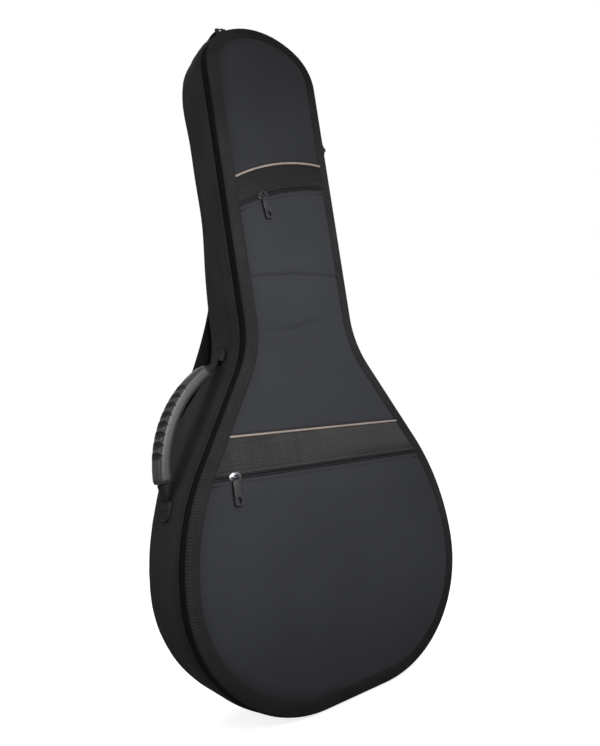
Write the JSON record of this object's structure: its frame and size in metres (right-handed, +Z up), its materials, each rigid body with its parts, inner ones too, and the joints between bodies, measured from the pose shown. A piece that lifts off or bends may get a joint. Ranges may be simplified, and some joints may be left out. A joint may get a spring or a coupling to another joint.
{
  "type": "padded banjo case",
  "caption": "Padded soft case for a short-scale banjo, with a zipped lid, two front pockets, a moulded side handle, shoulder straps and a hang loop.",
  "frame": {"origin": "middle of the flat bottom that the case stands on", "axes": "+Z up along the case towards its head, -Y out of the front with the pockets, +X to the right when the front is looked at"},
  "size_m": [0.384, 0.1246, 0.824],
  "materials": {
    "outer_cloth": "fine-woven polyester, matt",
    "side_cloth": "woven polyester, matt",
    "coarse_weave": "coarse open weave, matt",
    "zip_tape": "woven zip tape",
    "zip_coil": "nylon coil",
    "piping": "smooth tan cord",
    "foam": "soft closed-cell padding",
    "lining": "smooth lining cloth",
    "zip_metal": "gunmetal, satin",
    "grip_rubber": "moulded, satin",
    "webbing": "woven webbing",
    "buckle_plastic": "moulded, satin"
  },
  "bodies": {
    "case_back": {"strap_pad_left": "outer_cloth", "strap_pad_right": "outer_cloth", "side_outer_cloth": "side_cloth", "back_outer_cloth": "side_cloth", "hinge_strip_case_half": "side_cloth", "zip_end_tab_upper": "side_cloth", "zip_end_tab_lower": "side_cloth", "handle_patch_upper": "side_cloth", "handle_patch_lower": "side_cloth", "strap_yoke": "side_cloth", "strap_anchor_left": "side_cloth", "strap_anchor_right": "side_cloth", "back_seam_binding": "coarse_weave", "main_zip_rear_tape": "zip_tape", "main_zip_rear_coil": "zip_coil", "side_foam": "foam", "back_foam": "foam", "side_lining": "lining", "back_lining": "lining", "hang_loop": "webbing", "strap_webbing_left": "webbing", "strap_webbing_right": "webbing", "strap_buckle_loop_left": "webbing", "strap_buckle_loop_right": "webbing", "strap_buckle_left": "buckle_plastic", "strap_buckle_right": "buckle_plastic"},
    "lid": {"lid_foam": "foam", "lid_lining": "lining", "edge_band": "coarse_weave", "main_zip_front_tape": "zip_tape", "main_zip_front_coil": "zip_coil", "hinge_strip_lid_half": "side_cloth", "head_panel": "outer_cloth", "upper_piping": "piping", "upper_woven_band": "coarse_weave", "small_zip_upper_tape": "zip_tape", "small_zip_upper_coil": "zip_coil", "small_zip_lower_coil": "zip_coil", "small_zip_lower_tape": "zip_tape", "small_pocket_panel": "outer_cloth", "small_pocket_backing": "lining", "middle_panel": "outer_cloth", "lower_piping": "piping", "lower_woven_band": "coarse_weave", "large_zip_upper_tape": "zip_tape", "large_zip_upper_coil": "zip_coil", "large_zip_lower_coil": "zip_coil", "large_zip_lower_tape": "zip_tape", "large_pocket_panel": "outer_cloth", "large_pocket_backing": "lining"},
    "handle": {"handle_grip": "grip_rubber", "handle_webbing": "webbing"},
    "top_slider": {"main_zip_top_slider": "zip_metal"},
    "top_pull": {"main_zip_top_pull": "zip_metal"},
    "side_slider": {"main_zip_side_slider": "zip_metal"},
    "side_pull": {"main_zip_side_pull": "zip_metal"},
    "small_pocket_slider": {"small_zip_slider": "zip_metal"},
    "small_pocket_pull": {"small_zip_pull": "zip_metal"},
    "large_pocket_slider": {"large_zip_slider": "zip_metal"},
    "large_pocket_pull": {"large_zip_pull": "zip_metal"}
  },
  "joints": [
    {"name": "lid_opening", "type": "hinge", "parent": "case_back", "child": "lid", "pos_m": [0.1888, -0.0485, 0.165], "axis": [0, 0, 1], "range_deg": [0, 150]},
    {"name": "handle_swing", "type": "hinge", "parent": "case_back", "child": "handle", "pos_m": [-0.13363, 0.0005, 0.32665], "axis": [-0.4818, 0, -0.8763], "range_deg": [-28, 28]},
    {"name": "top_slider_travel", "type": "hinge", "parent": "case_back", "child": "top_slider", "pos_m": [0, -0.0485, 0.725], "axis": [0, 1, 0], "range_deg": [0, 60]},
    {"name": "top_pull_swing", "type": "hinge", "parent": "top_slider", "child": "top_pull", "pos_m": [-0.05081, -0.0485, 0.81194], "axis": [0.8634, 0, 0.5045], "range_deg": [0, 170]},
    {"name": "side_slider_travel", "type": "slide", "parent": "case_back", "child": "side_slider", "axis": [0.0066, 0, 1], "range_m": [-0.16, 0.045]},
    {"name": "side_pull_swing", "type": "hinge", "parent": "side_slider", "child": "side_pull", "pos_m": [0.08446, -0.0485, 0.67331], "axis": [-0.0066, 0, -1], "range_deg": [0, 170]},
    {"name": "small_pocket_slider_travel", "type": "hinge", "parent": "lid", "child": "small_pocket_slider", "pos_m": [0.08463, -0.0485, 0.27364], "axis": [0, 1, 0], "range_deg": [-4.8, 14.6]},
    {"name": "small_pocket_pull_swing", "type": "hinge", "parent": "small_pocket_slider", "child": "small_pocket_pull", "pos_m": [-0.03003, -0.06405, 0.59159], "axis": [-0.9407, 0, -0.3392], "range_deg": [0, 160]},
    {"name": "large_pocket_slider_travel", "type": "slide", "parent": "lid", "child": "large_pocket_slider", "axis": [0.9997, 0, -0.026], "range_m": [-0.012, 0.244]},
    {"name": "large_pocket_pull_swing", "type": "hinge", "parent": "large_pocket_slider", "child": "large_pocket_pull", "pos_m": [-0.11863, -0.06405, 0.26668], "axis": [-0.9997, 0, 0.026], "range_deg": [0, 160]}
  ]
}
